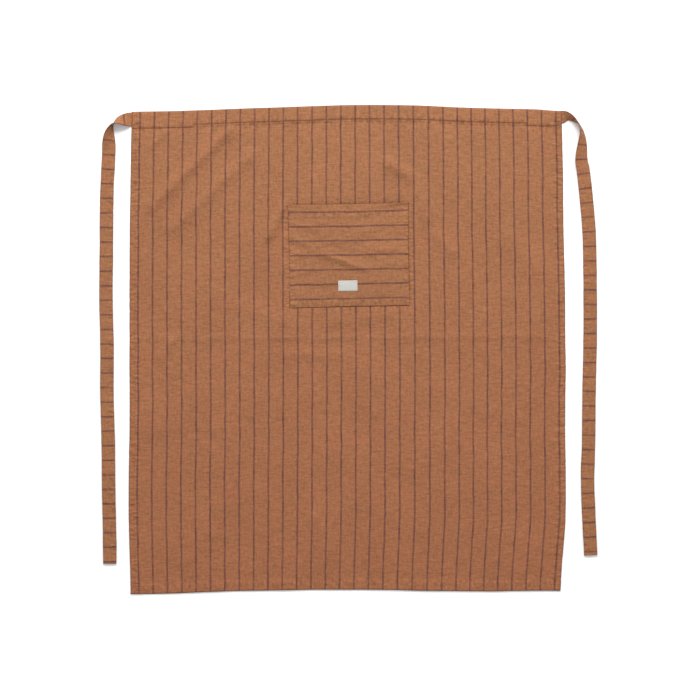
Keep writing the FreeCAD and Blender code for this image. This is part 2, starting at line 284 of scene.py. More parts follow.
def refine(mesh, chosen, cuts):
    """Divides the grid's edges whose two ends are both chosen."""
    edges = [e for e in mesh.edges if all(chosen(v.co) for v in e.verts)]
    bmesh.ops.subdivide_edges(mesh, edges=edges, cuts=cuts, use_grid_fill=True)


def finish_piece(name, mesh, material, body=None):
    """Makes the object of a finished mesh, smooth shaded, and lets it ride on its body."""
    data = bpy.data.meshes.new(name)
    mesh.to_mesh(data)
    mesh.free()
    data.shade_smooth()
    data.materials.append(material)
    piece = bpy.data.objects.new(name, data)
    bpy.context.scene.collection.objects.link(piece)
    if body:
        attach(piece, body)
    return piece


def thicken(piece, thickness):
    """Gives a piece of cloth its thickness, half to each side."""
    solid = piece.modifiers.new("cloth thickness", "SOLIDIFY")
    solid.thickness = thickness
    solid.offset = 0


def linear(hex_colour):
    """An sRGB hex colour as the linear colour that a shader socket takes."""
    parts = [int(hex_colour[i : i + 2], 16) / 255 for i in (1, 3, 5)]
    return [p / 12.92 if p <= 0.04045 else ((p + 0.055) / 1.055) ** 2.4 for p in parts] + [1.0]


def add(tree, kind, inputs=None, out=0, **settings):
    """Adds a node and gives one of its outputs; its inputs are values, or outputs to link."""
    node = tree.nodes.new("ShaderNode" + kind)
    for key, value in settings.items():
        setattr(node, key, value)
    for key, value in (inputs or {}).items():
        if isinstance(value, bpy.types.NodeSocket):
            tree.links.new(value, node.inputs[key])
        else:
            node.inputs[key].default_value = value
    return node.outputs[out] if node.outputs else None


def new_material(name):
    """A material with an empty node tree."""
    material = bpy.data.materials.new(name)
    material.use_nodes = True
    material.node_tree.nodes.clear()
    return material


def streaks(tree, pattern, along_x, along_y, shift, detail=2.0):
    """Noise whose grains are along_x by along_y millimetres, from 0 to 1."""
    scale, corner = (1000 / along_x, 1000 / along_y, 0), (shift, shift * 0.7, 0)
    place = add(tree, "Mapping", {"Vector": pattern, "Location": corner, "Scale": scale})
    return add(tree, "TexNoise", {"Vector": place, "Scale": 1.0, "Detail": detail})


def striped_cotton():
    """Plain-woven cotton of uneven yarn, garment washed, with dark yarn-dyed stripes.

    The eye sees a matt brown with short slubs both ways, a faint crumple, stripes whose
    edges waver, and puckers beside seams, painted lighter on their crests and darker in
    their furrows as painted highlight and shade. A dark red painted shade runs along seams,
    folds and the cloth's edges. Real yarns are 0.5 mm apart, and are drawn about 1 mm apart
    here so that the weave shows.
    """
    material = new_material("washed_striped_cotton")
    tree = material.node_tree
    stripe_core, stripe_edge, waver = 0.8, 2.1, 0.0022
    pucker_near, pucker_far, painted_shade_core, painted_shade_edge = 2.0, 12.0, 0.4, 1.6
    soft = {"interpolation_type": "SMOOTHSTEP"}
    pattern = add(tree, "Attribute", out="Vector", attribute_name="pattern")
    seam = add(tree, "Attribute", out="Vector", attribute_name="seam")
    warp = streaks(tree, pattern, 1.0, 14, 3.1)
    weft = streaks(tree, pattern, 14, 1.0, 7.7)
    warp_slub = streaks(tree, pattern, 2.6, 22, 12.5)
    weft_slub = streaks(tree, pattern, 20, 2.4, 21.3)
    mottle = streaks(tree, pattern, 4.2, 4.2, 31.0, 3.0)
    cloud = streaks(tree, pattern, 70, 90, 40.0, 3.0)
    blush = streaks(tree, pattern, 22, 28, 47.0, 2.0)
    crumple = streaks(tree, pattern, 9, 8, 52.0, 4.0)

    # Stripes: distance from the middle of the nearest one, in millimetres, made to waver.
    drift = streaks(tree, pattern, 400, 45, 9.0)
    place = add(tree, "SeparateXYZ", {0: pattern}, out="X")
    place = add(tree, "Math", {0: drift, 1: waver, 2: place}, operation="MULTIPLY_ADD")
    place = add(tree, "Math", {0: place, 1: waver / 2}, operation="SUBTRACT")
    turns = add(tree, "Math", {0: place, 1: STRIPE_PITCH}, operation="DIVIDE")
    turns = add(tree, "Math", {0: turns}, operation="FRACT")
    off = add(tree, "Math", {0: turns, 1: 0.5}, operation="SUBTRACT")
    off = add(tree, "Math", {0: off}, operation="ABSOLUTE")
    ragged = streaks(tree, pattern, 3, 2.6, 90.0)
    ragged = add(tree, "Math", {0: ragged, 1: 1.4, 2: -0.7}, operation="MULTIPLY_ADD")
    off = add(tree, "Math", {0: off, 1: STRIPE_PITCH * 1000, 2: ragged}, operation="MULTIPLY_ADD")
    stripe = add(tree, "MapRange", {0: off, 1: stripe_core, 2: stripe_edge, 3: 1.0, 4: 0.0}, **soft)
    dyed = streaks(tree, pattern, 5, 22, 83.0)
    dyed = add(tree, "MapRange", {0: dyed, 1: 0.3, 2: 0.7, 3: 0.55, 4: 1.0})
    stripe = add(tree, "Math", {0: stripe, 1: dyed}, operation="MULTIPLY")

    # Seams: puckers on both sides of each one, and a dark red painted shade along its needle
    # line or fold and along the cloth's edges. Across, down and fold lines are told apart by
    # their distances.
    bunched, line = 0.0, 0.0
    for axis, puckers, strength in (
        ("X", streaks(tree, pattern, 5.0, 14, 61.0, 1.0), 0.80),
        ("Y", streaks(tree, pattern, 14, 5.0, 72.0, 1.0), 0.12),
        ("Z", None, 0.50),
    ):
        away = add(tree, "SeparateXYZ", {0: seam}, out=axis)
        away = add(tree, "Math", {0: away, 1: 1000.0}, operation="MULTIPLY")
        away = add(tree, "Math", {0: away}, operation="ABSOLUTE")
        # Painted shade: darkest on the line, fading out within 1.6 mm of it.
        dark = {0: away, 1: painted_shade_core, 2: painted_shade_edge, 3: strength, 4: 0.0}
        dark = add(tree, "MapRange", dark, **soft)
        line = add(tree, "Math", {0: line, 1: dark}, operation="MAXIMUM")
        if puckers:
            puckers = add(tree, "Math", {0: puckers, 1: 0.5}, operation="SUBTRACT")
            close = {0: away, 1: pucker_near, 2: pucker_far, 3: 1.0, 4: 0.0}
            close = add(tree, "MapRange", close, **soft)
            gather = {0: puckers, 1: close, 2: bunched}
            bunched = add(tree, "Math", gather, operation="MULTIPLY_ADD")

    # Tone is how much lighter or darker the cloth is than the plain colour, and relief is in
    # millimetres. Each is a middle value and the share that every pattern has in it. The
    # puckers' tone is painted highlight and shade: lighter on their crests, darker in furrows.
    shares = [
        (warp, 0.34, 0.10),
        (weft, 0.34, 0.12),
        (warp_slub, 0.40, 0.20),
        (weft_slub, 0.40, 0.24),
        (mottle, 0.50, 0.46),
        (cloud, 0.22, 0.0),
        (crumple, 0.0, 1.8),
        # Painted highlight on the puckers' crests and painted shade in their furrows.
        (bunched, 0.7, 2.2),
    ]
    tone, relief = 0.98 - sum(share[1] for share in shares[:6]) / 2, 0.0
    for source, light, height in shares:
        tone = add(tree, "Math", {0: source, 1: light, 2: tone}, operation="MULTIPLY_ADD")
        relief = add(tree, "Math", {0: source, 1: height, 2: relief}, operation="MULTIPLY_ADD")

    # The cloth is painted a little redder towards its bottom hem, a painted tint of the light
    # as it falls off there. Washing has also left it redder along some yarns.
    height = add(tree, "SeparateXYZ", {0: pattern}, out="Y")
    redder = add(tree, "MapRange", {0: height, 1: 0.32, 2: -0.42, 3: -0.27, 4: 0.14})
    redder = add(tree, "Math", {0: warp_slub, 1: 0.5, 2: redder}, operation="MULTIPLY_ADD")
    redder = add(tree, "Math", {0: blush, 1: 0.6, 2: redder}, operation="MULTIPLY_ADD")
    shade = linear("#8F6242")
    # The last layer, line, is painted shade in dark red along seams, folds and the cloth's edges.
    for share, colour in ((redder, "#955B3E"), (stripe, "#5E3B35"), (line, "#5A2F1C")):
        layer = {0: share, 6: shade, 7: linear(colour)}
        shade = add(tree, "Mix", layer, out=2, data_type="RGBA")
    shade = add(tree, "VectorMath", {0: shade, "Scale": tone}, operation="SCALE")
    bump = add(tree, "Bump", {"Height": relief, "Strength": 1.0, "Distance": 0.001})
    sheen = {"Sheen Weight": 0.16, "Sheen Roughness": 0.45, "Sheen Tint": linear("#E8C9B4")}
    matt = {"Roughness": 0.88, "Specular IOR Level": 0.2}
    shader = add(tree, "BsdfPrincipled", {"Base Color": shade, "Normal": bump, **matt, **sheen})
    add(tree, "OutputMaterial", {"Surface": shader})
    return material


COTTON = striped_cotton()


def make_panel():
    """The panel's grid, finer along its edges, round the pocket and on its pressed folds."""
    mesh = new_grid(140, 156, 2 * HALF_WIDTH, 2 * HALF_LENGTH)
    border, waist_border, middle = 0.0185, 0.034, 0.0035
    fold_x, fold_y, fold_reach = -0.134, 0.019, 0.007

    def in_border(p):
        edge = min(HALF_WIDTH - abs(p.x), HALF_LENGTH + p.y)
        return edge < border or HALF_LENGTH - p.y < waist_border

    refine(mesh, in_border, 2)

    def by_pocket_or_fold(p):
        local = pocket_local(Vector((p.x, p.y + middle)))
        off = max(abs(local.x) - POCKET_HALF, abs(local.y) - POCKET_TALL / 2)
        inside = not in_border(p) and HALF_LENGTH - p.y > waist_border
        fold = min(abs(p.y + middle - fold_y), abs(p.x - fold_x)) < fold_reach
        return inside and (-0.004 < off < 0.010 or fold)

    refine(mesh, by_pocket_or_fold, 1)
    pattern = mesh.verts.layers.float_vector["pattern"]
    seam = mesh.verts.layers.float_vector["seam"]
    for vert in mesh.verts:
        drift = 0.0029 * math.exp(-(((vert.co.x - 0.170) / 0.065) ** 2))
        striped = vert.co.x - drift - FIRST_STRIPE_X + STRIPE_PITCH / 2
        vert[pattern] = Vector((striped, vert.co.y, 0))
        place = panel_place(vert.co.x / HALF_WIDTH, vert.co.y / HALF_LENGTH)
        vert[seam] = panel_seams(place, edge_distances(place), pocket_offset(place))
        vert.co = Vector((place.x, place.y, panel_height(place)))
    piece = finish_piece("apron_panel_cloth", mesh, COTTON, "apron")
    thicken(piece, CLOTH)
    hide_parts("apron_panel")
    return piece


panel = make_panel()


# ---------------------------------------------------------------------------------------
# Hems. The same cloth turned twice to the back and pressed: a deep casing at the waist, a
# narrow hem down each side and a wider one along the bottom, all lying under the panel.
# ---------------------------------------------------------------------------------------
HEM_THICK = 0.00112


def make_hem(node, low, high, columns, rows):
    """A turned strip between two corners, given as flat cloth points from -1 to 1."""
    mesh = new_grid(columns, rows, 1, 1)
    pattern = mesh.verts.layers.float_vector["pattern"]
    for vert in mesh.verts:
        across = low[0] + (high[0] - low[0]) * (vert.co.x + 0.5)
        down = low[1] + (high[1] - low[1]) * (vert.co.y + 0.5)
        place = panel_place(across, down)
        vert[pattern] = Vector((place.x - FIRST_STRIPE_X + STRIPE_PITCH / 2, place.y, 0))
        under = panel_height(place) - CLOTH / 2 - HEM_THICK / 2 - 0.00002
        vert.co = Vector((place.x, place.y, max(under, HEM_THICK / 2)))
    piece = finish_piece(f"{node}_cloth", mesh, COTTON, "apron")
    thicken(piece, HEM_THICK)
    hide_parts(node)
    return piece


full_width, cloth_length = 2 * HALF_WIDTH, 2 * HALF_LENGTH
outer, gap, tie_tuck = 0.997, 0.001, 0.0235294
casing_end = 1 - tie_tuck / HALF_WIDTH
side_line = 1 - SIDE_HEM / HALF_WIDTH
casing_foot, hem_top = 1 - 2 * CASING / cloth_length, -1 + 2 * BOTTOM_HEM / cloth_length
side_foot = -1 + 2 * (BOTTOM_HEM + gap) / cloth_length
side_top = 1 - 2 * (CASING + gap) / cloth_length
hems = [
    make_hem("waist_casing", (-casing_end, casing_foot), (casing_end, outer), 210, 8),
    make_hem("bottom_hem", (-outer, -outer), (outer, hem_top), 210, 6),
    make_hem("left_side_hem", (-outer, side_foot), (-side_line, side_top), 5, 230),
    make_hem("right_side_hem", (side_line, side_foot), (outer, side_top), 5, 230),
]


# ---------------------------------------------------------------------------------------
# Pocket. A patch of the same cloth cut crosswise, so that its stripes lie across. Its mouth
# is hemmed and its other three edges are turned in and sewn down, and washing has left it
# slack between the seams.
# ---------------------------------------------------------------------------------------
POCKET_SLACK = 0.0030
POCKET_TURNING, POCKET_HEM, POCKET_SEAM = 0.010, 0.020, 0.003
POCKET_GROOVE, LAYER_SLOPE, FIRST_POCKET_STRIPE = 0.0022, 0.003, 0.0722

# The pocket's own creases, in its axes: from, to, height, half width.
POCKET_FOLDS = [
    ((-0.050, 0.005), (0.034, -0.026), 0.0036, 0.0065),
    ((-0.092, 0.052), (-0.050, 0.044), 0.0014, 0.004),
    ((-0.094, 0.026), (-0.058, 0.016), 0.0013, 0.004),
    ((-0.092, -0.004), (-0.064, 0.001), 0.0010, 0.004),
    ((-0.094, -0.030), (-0.062, -0.027), 0.0012, 0.004),
    ((-0.070, -0.044), (-0.010, -0.038), 0.0010, 0.007),
    ((0.020, 0.036), (0.088, 0.058), 0.0012, 0.008),
    ((0.020, 0.006), (0.092, 0.010), 0.0009, 0.009),
    ((0.045, -0.065), (0.090, -0.052), 0.0009, 0.007),
]


def pocket_edges(a, b):
    """Pulls the pocket's outline in a little between its corners."""
    reach_x, reach_y = a / POCKET_HALF, b / (POCKET_TALL / 2)
    pull = 0.0012 * (1 - reach_y * reach_y) * reach_x
    a = a - pull + 0.0006 * reach_x * noise.noise(Vector((reach_x, b * 60, 1.0)))
    b = b - 0.0012 * max(reach_y, 0) * (1 - reach_x * reach_x)
    b += 0.0022 * smooth((reach_x - 0.84) / 0.06) * max(reach_y, 0) ** 8
    b -= 0.0010 * max(-reach_y, 0) ** 6 * smooth((-reach_x - 0.1) / 0.8)
    return a, b


def pocket_height(a, b, world):
    """Height of the middle of the pocket's cloth at a point in the pocket's axes."""
    side = POCKET_HALF - abs(a)
    mouth, foot = POCKET_TALL / 2 - b, b + POCKET_TALL / 2
    belly = smooth((side - 0.003) / 0.055) * smooth((foot - 0.004) / 0.075)
    slack = POCKET_SLACK * belly * (0.85 + 0.3 * noise.noise(Vector((a * 14, b * 14, 7.0))))
    point = Vector((a, b))
    free = smooth((min(side, foot) - 0.004) / 0.012)
    for fold in POCKET_FOLDS:
        slack += free * ripple(point, *fold)
    slack += 0.0009 * free * (1 + noise.noise(Vector((a * 40, b * 60, 2.0))))
    turned = smooth((POCKET_TURNING + LAYER_SLOPE - min(side, foot)) / LAYER_SLOPE)
    turned = max(turned, smooth((POCKET_HEM + LAYER_SLOPE - mouth) / LAYER_SLOPE))
    lip = smooth(1 - mouth / 0.006) * smooth((a - 0.060) / 0.02) * smooth((0.0965 - a) / 0.008)
    seams = side - POCKET_SEAM, foot - POCKET_SEAM, mouth - POCKET_HEM + SEAM_IN
    pucker = near(seams[0], 0.013) * furrow(b * 135, a * 45)
    pucker += near(seams[1], 0.011) * furrow(a * 135, b * 45)
    pucker += near(mouth - POCKET_HEM, 0.010) * furrow(a * 120, b * 45)
    groove = max(near(seam, POCKET_GROOVE) for seam in seams)
    rolled = smooth(1 - min(side, foot, mouth + 0.0006) / ROLLED_EDGE)
    layers = 1.05 * CLOTH + CLOTH * turned
    under = panel_height(world) + layers + slack + 0.0016 * lip
    return under + 0.00045 * pucker - 0.00025 * groove - 0.0007 * rolled


def pocket_world(a, b):
    """A point in the pocket's axes, seen from above in the apron's axes."""
    return POCKET_CENTRE + Matrix.Rotation(POCKET_TILT, 2) @ Vector((a, b))


def make_pocket():
    mesh = new_grid(124, 106, 2 * POCKET_HALF, POCKET_TALL)
    pattern = mesh.verts.layers.float_vector["pattern"]
    seam = mesh.verts.layers.float_vector["seam"]
    for vert in mesh.verts:
        flat_a, flat_b = vert.co.x, vert.co.y
        vert[pattern] = Vector((flat_b + STRIPE_PITCH / 2 - FIRST_POCKET_STRIPE, flat_a + 0.9, 0))
        side = POCKET_HALF - abs(flat_a)
        mouth, foot = POCKET_TALL / 2 - flat_b, flat_b + POCKET_TALL / 2
        # These seam distances also set where the cloth's material paints shade along the pocket's
        # seams, hem and edges.
        along = nearest(foot - POCKET_SEAM, abs(mouth - POCKET_HEM + SEAM_IN) + 0.0010)
        vert[seam] = (abs(side - POCKET_SEAM) + 0.0011, along, min(side, mouth, foot) + 0.0003)
        a, b = pocket_edges(flat_a, flat_b)
        world = pocket_world(a, b)
        vert.co = Vector((world.x, world.y, pocket_height(flat_a, flat_b, world)))
    piece = finish_piece("pocket_cloth", mesh, COTTON, "apron")
    thicken(piece, CLOTH)
    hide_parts("pocket_panel")
    return piece


def make_pocket_layer(node, low, high, columns, rows):
    """A layer turned in under the pocket's cloth, between two corners in its axes."""
    mesh = new_grid(columns, rows, 1, 1)
    pattern = mesh.verts.layers.float_vector["pattern"]
    for vert in mesh.verts:
        flat_a = low[0] + (high[0] - low[0]) * (vert.co.x + 0.5)
        flat_b = low[1] + (high[1] - low[1]) * (vert.co.y + 0.5)
        a, b = pocket_edges(flat_a, flat_b)
        world = pocket_world(a, b)
        vert[pattern] = Vector((flat_b + 0.002, flat_a, 0))
        height = pocket_height(flat_a, flat_b, world) - CLOTH - 0.00002
        vert.co = Vector((world.x, world.y, max(height, panel_height(world) + 0.7 * CLOTH)))
    piece = finish_piece(f"{node}_cloth", mesh, COTTON, "apron")
    thicken(piece, 0.85 * CLOTH)
    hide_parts(node)
    return piece


pocket = make_pocket()
trim = 0.0008
wide, tall = POCKET_HALF - trim, POCKET_TALL / 2 - trim
inner, hem_foot = POCKET_HALF - POCKET_TURNING, POCKET_TALL / 2 - POCKET_HEM
turning_top = POCKET_TURNING - POCKET_TALL / 2
pocket_layers = [
    make_pocket_layer("pocket_mouth_hem", (-inner, hem_foot), (inner, tall), 90, 10),
    make_pocket_layer("pocket_left_turning", (-wide, -tall), (-inner, tall), 5, 85),
    make_pocket_layer("pocket_right_turning", (inner, -tall), (wide, tall), 5, 85),
    make_pocket_layer("pocket_bottom_turning", (-inner, -tall), (inner, turning_top), 90, 5),
]


# ---------------------------------------------------------------------------------------
# Woven label. A short length of off-white cotton tape with its two ends folded under,
# sewn to the pocket through each end. It is left blank, with a tone-on-tone border.
# ---------------------------------------------------------------------------------------
LABEL_WIDE, LABEL_TALL, LABEL_THICK = 0.0318, 0.0172, 0.0005
LABEL_MIDDLE = Vector((-0.0026, -0.0508))
LABEL_SEAM, LABEL_BORDER = 0.0022, 0.0066


def label_tape():
    """Taffeta-woven tape: fine ribs across, matt and slightly grey-white, a thin border."""
    material = new_material("woven_label_tape")
    tree = material.node_tree
    pattern = add(tree, "Attribute", out="Vector", attribute_name="pattern")
    rib = streaks(tree, pattern, 9, 0.55, 2.0)
    picks = streaks(tree, pattern, 0.7, 3.0, 5.0)
    off = add(tree, "SeparateXYZ", {0: pattern}, out="Y")
    off = add(tree, "Math", {0: off}, operation="ABSOLUTE")
    off = add(tree, "Math", {0: off, 1: LABEL_BORDER}, operation="SUBTRACT")
    off = add(tree, "Math", {0: off}, operation="ABSOLUTE")
    border = add(tree, "MapRange", {0: off, 1: 0.0002, 2: 0.0006, 3: 0.55, 4: 0.0})
    shade = {0: border, 6: linear("#B4B4AD"), 7: linear("#96958F")}
    shade = add(tree, "Mix", shade, out=2, data_type="RGBA")
    both = add(tree, "Math", {0: rib, 1: picks}, operation="ADD")
    tone = add(tree, "Math", {0: both, 1: 0.12, 2: 0.88}, operation="MULTIPLY_ADD")
    shade = add(tree, "VectorMath", {0: shade, "Scale": tone}, operation="SCALE")
    relief = add(tree, "Math", {0: both, 1: 0.14}, operation="MULTIPLY")
    bump = add(tree, "Bump", {"Height": relief, "Strength": 1.0, "Distance": 0.001})
    finish = {"Roughness": 0.8, "Sheen Weight": 0.15, "Sheen Roughness": 0.4}
    shader = add(tree, "BsdfPrincipled", {"Base Color": shade, "Normal": bump, **finish})
    add(tree, "OutputMaterial", {"Surface": shader})
    return material


def label_height(a, b, world):
    """Height of the middle of the label's tape at a point in the pocket's axes."""
    end = LABEL_WIDE / 2 - abs(a - LABEL_MIDDLE.x)
    edge = LABEL_TALL / 2 - abs(b - LABEL_MIDDLE.y)
    folded = 0.0004 * smooth((0.0052 - end) / 0.0012)
    sewn = 0.00025 * near(end - LABEL_SEAM, 0.0012)
    curl = 0.0004 * smooth(1 - min(end, edge) / 0.0012)
    return pocket_height(a, b, world) + CLOTH / 2 + 0.00055 + folded - sewn - curl


def make_label():
    mesh = new_grid(44, 26, LABEL_WIDE, LABEL_TALL)
    pattern = mesh.verts.layers.float_vector["pattern"]
    for vert in mesh.verts:
        vert[pattern] = Vector((vert.co.x, vert.co.y, 0))
        a, b = vert.co.x + LABEL_MIDDLE.x, vert.co.y + LABEL_MIDDLE.y
        world = pocket_world(a, b)
        vert.co = Vector((world.x, world.y, label_height(a, b, world)))
    piece = finish_piece("label_tape", mesh, label_tape(), "apron")
    thicken(piece, LABEL_THICK)
    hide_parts("woven_label")
    return piece


make_label()


# ---------------------------------------------------------------------------------------
# Ties. Each is one long strip of the cloth, cut across the stripes, folded to 22 mm with
# its raw edges inside and topstitched. It is sewn behind the corner, turns over on edge at
# its neck, and lies down beside the panel with small creases along its length.
# ---------------------------------------------------------------------------------------
TIE_LOW, TIE_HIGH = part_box("left_tie_root")
TIE_WIDTH = TIE_HIGH[1] - TIE_LOW[1]
TIE_THICK = 2 * CLOTH
TIE_ROUTES = {
    "left": [
        (-0.3355, 0.3815),
        (-0.3559, 0.3803),
        (-0.3738, 0.3786),
        (-0.3815, 0.3757),
        (-0.3869, 0.3716),
        (-0.3914, 0.3612),
        (-0.3934, 0.3492),
        (-0.3940, 0.3282),
        (-0.3952, 0.3017),
        (-0.3974, 0.2522),
        (-0.3981, 0.1646),
        (-0.3987, 0.0852),
        (-0.3970, 0.0059),
        (-0.3971, -0.0735),
        (-0.3950, -0.1528),
        (-0.3942, -0.2322),
        (-0.3928, -0.3060),
        (-0.3924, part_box("left_tie")[0][1]),
    ],
    "right": [
        (0.3340, 0.3828),
        (0.3540, 0.3840),
        (0.3640, 0.3842),
        (0.3712, 0.3808),
        (0.3794, 0.3743),
        (0.3840, 0.3689),
        (0.3873, 0.3553),
        (0.3875, 0.3374),
        (0.3862, 0.3199),
        (0.3868, 0.3084),
        (0.3893, 0.2961),
        (0.3943, 0.2522),
        (0.3996, 0.1844),
        (0.4010, 0.0852),
        (0.4008, 0.0059),
        (0.3991, -0.0735),
        (0.3984, -0.1528),
        (0.3967, -0.2123),
        (0.3986, -0.2718),
        (0.4020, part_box("right_tie")[0][1]),
    ],
}

# Lengths along a tie from its neck: its first stripe, and where it starts and ends its turn.
# One edge rises at the neck, which is gathered and pressed lower than it would stand.
FIRST_TIE_STRIPE = {"left": 0.0275, "right": 0.0389}
TURN_BEFORE = {"left": 0.045, "right": 0.074}
TURN_AFTER = {"left": 0.058, "right": 0.110}
RAISED_EDGE = {"left": -1, "right": 1}
GATHER = {"left": -0.06, "right": 0.10}
NECK_POINT, ROOT_LENGTH, NECK_HEIGHT = 4, 0.018, 0.72
TOPSTITCH, ROW_LENGTH = 0.73, 0.0016


class Route:
    """A smooth line through given points, read by the length along it."""

    def __init__(self, points):
        self.points = [Vector(p) for p in points]
        before, after = (2 * self.points[i] - self.points[j] for i, j in ((0, 1), (-1, -2)))
        padded = [before, *self.points, after]
        self.line, self.marks = [], []
        for index in range(1, len(padded) - 2):
            self.marks.append(len(self.line))
            for step in range(24):
                self.line.append(self.between(*padded[index - 1 : index + 3], step / 24))
        self.line.append(self.points[-1])
        self.lengths = [0.0]
        for before, after in zip(self.line, self.line[1:]):
            self.lengths.append(self.lengths[-1] + (after - before).length)
        self.length = self.lengths[-1]

    @staticmethod
    def between(before, start, end, after, part):
        """Catmull-Rom: part of the way from start to end."""
        return 0.5 * (
            2 * start
            + (end - before) * part
            + (2 * before - 5 * start + 4 * end - after) * part**2
            + (3 * start - before - 3 * end + after) * part**3
        )

    def at(self, length):
        """The point and the direction at a length along the line."""
        length = min(max(length, 0.0), self.length - 1e-7)
        low, high = 0, len(self.lengths) - 1
        while high - low > 1:
            mid = (low + high) // 2
            low, high = (mid, high) if self.lengths[mid] <= length else (low, mid)
        along = self.line[low + 1] - self.line[low]
        part = (length - self.lengths[low]) / (self.lengths[low + 1] - self.lengths[low])
        return self.line[low] + along * part, along.normalized()


def tie_surface(hand, route, neck, length, across):
    """The middle of the tie's cloth; across runs from -1 to 1, from edge to edge."""
    side = -1 if hand == "left" else 1
    step = 0.004
    point, _ = route.at(length)
    ahead, behind = route.at(length + step)[0], route.at(length - step)[0]
    along = (ahead - behind).normalized()
    outward = Vector((-along.y, along.x)) * side
    past = length - neck
    past = max(past / TURN_BEFORE[hand], -1.0) if past < 0 else min(past / TURN_AFTER[hand], 1.0)
    turned = math.pi / 2 * (1 + math.sin(math.pi / 2 * past))
    turned *= smooth((length - ROOT_LENGTH) / 0.014)
    lay = Vector((point.x, point.y, 7.0 * side))
    half = TIE_WIDTH / 2 * (1 + 0.035 * noise.noise(Vector((length * 30, side, 0))))
    half *= 1 - GATHER[hand] * near(length - neck + 0.012, 0.055)
    standing = NECK_HEIGHT * math.sin(turned)
    centre = half * standing + TIE_THICK / 2
    clear = smooth((length - neck - 0.03) / 0.05)
    bend = 0.0010 * (1 + noise.noise(lay * 22)) + 0.0005 * (1 + noise.noise(lay * 60))
    cup = 0.0006 * (1 - across * across) * (1 + noise.noise(lay * 45))
    crinkle = 0.0006 * noise.noise(Vector((length * 200, across * 1.4, side)))
    crinkle *= 0.4 + 0.6 * across * across
    lift = clear * (bend + cup) + crinkle * (0.3 + 0.7 * clear)
    upright = Vector((0, 0, standing * RAISED_EDGE[hand]))
    flat = Vector((outward.x, outward.y, 0)) * math.cos(turned) + upright
    roll = 0.05 * clear * noise.noise(lay * 14)
    place = Vector((point.x, point.y, centre)) + flat * (half * across)
    place.z += max(lift, 0.0) + abs(roll) * half + roll * half * across
    return place


def make_tie(hand):
    side = -1 if hand == "left" else 1
    route = Route(TIE_ROUTES[hand])
    neck = route.lengths[route.marks[NECK_POINT]]
    rows = round(route.length / ROW_LENGTH)
    mesh = new_grid(12, rows, 2, route.length)
    pattern = mesh.verts.layers.float_vector["pattern"]
    seam = mesh.verts.layers.float_vector["seam"]
    for vert in mesh.verts:
        across, length = vert.co.x, vert.co.y + route.length / 2
        first = neck + FIRST_TIE_STRIPE[hand]
        aside = across * TIE_WIDTH / 2
        vert[pattern] = Vector((length - first + STRIPE_PITCH / 2, aside + 1.5 + side / 2, 0))
        # These seam distances also set where the cloth's material paints shade along the
        # topstitching and the tie's edges.
        topstitched = abs(aside - TOPSTITCH * TIE_WIDTH / 2) + 0.0012
        vert[seam] = (topstitched, FAR, TIE_WIDTH / 2 - abs(aside))
        vert.co = tie_surface(hand, route, neck, length, across)
    bmesh.ops.recalc_face_normals(mesh, faces=mesh.faces)
    piece = finish_piece(f"{hand}_tie_cloth", mesh, COTTON)
    thicken(piece, TIE_THICK)
    soft = piece.modifiers.new("soft edges", "BEVEL")
    soft.width, soft.segments = 0.0004, 2
    soft.limit_method, soft.angle_limit = "ANGLE", math.radians(50)
    return piece, route, neck


def blend_tie(piece):
    """Bakes a tie's placement into its mesh."""
    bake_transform(piece)


ties = {}
for hand in ("left", "right"):
    piece, route, neck = make_tie(hand)
    ties[hand] = (piece, route, neck)
    blend_tie(piece)
    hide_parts(f"{hand}_tie", f"{hand}_tie_root")


# ---------------------------------------------------------------------------------------
# Sewing thread. Spun polyester in the cloth's own brown, lockstitched about three stitches
# to the centimetre. Each stitch is a short raised loop that bites into the cloth at its
# two ends, and the bar tacks are close zigzags.
# ---------------------------------------------------------------------------------------
STITCH_PITCH, STITCH_LONG, THREAD = 0.0032, 0.0026, 0.00040
RUN_END, FIRST_TIE_STITCH = 0.997, 0.024


def spun_thread():
    """Matt twisted thread, a shade darker and redder than the cloth, with a slight sheen."""
    material = new_material("spun_polyester_thread")
    tree = material.node_tree
    twist = streaks(tree, add(tree, "TexCoord", out="Object"), 0.6, 0.6, 1.0)
    tone = add(tree, "Math", {0: twist, 1: 0.3, 2: 0.85}, operation="MULTIPLY_ADD")
    shade = add(tree, "VectorMath", {0: linear("#A0694C")[:3], "Scale": tone}, operation="SCALE")
    sheen = {"Sheen Weight": 0.2, "Sheen Roughness": 0.4}
    shader = add(tree, "BsdfPrincipled", {"Base Color": shade, "Roughness": 0.6, **sheen})
    add(tree, "OutputMaterial", {"Surface": shader})
    return material


SPUN_THREAD = spun_thread()


def add_stitch(mesh, start, end, sink=0.4):
    """One stitch between two points on the cloth, sunk into it at both ends."""
    along = end - start
    turn = Vector((1, 0, 0)).rotation_difference(along).to_matrix().to_4x4()
    size = Matrix.Diagonal((along.length / 2, THREAD / 2, THREAD / 2, 1))
    place = Matrix.Translation((start + end) / 2 + Vector((0, 0, THREAD * (0.5 - sink))))
    matrix = place @ turn @ size
    bmesh.ops.create_uvsphere(mesh, u_segments=6, v_segments=5, radius=1, matrix=matrix)


def sew(mesh, surface, length):
    """A run of stitches; surface gives the point on top of the cloth at a length along it."""
    count = max(1, round(length / STITCH_PITCH))
    for index in range(count):
        start = (index + 0.5) * length / count - STITCH_LONG / 2
        add_stitch(mesh, surface(start), surface(start + STITCH_LONG))


def finish_thread(node, mesh, body="apron"):
    """Makes one seam's thread out of its stitches, in place of its CAD node."""
    piece = finish_piece(f"{node}_thread", mesh, SPUN_THREAD, body)
    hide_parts(node)
    return piece


def on_panel(across, down):
    """The top of the panel's cloth at a flat cloth point from -1 to 1 each way."""
    place = panel_place(across, down)
    return Vector((place.x, place.y, panel_height(place) + CLOTH / 2))


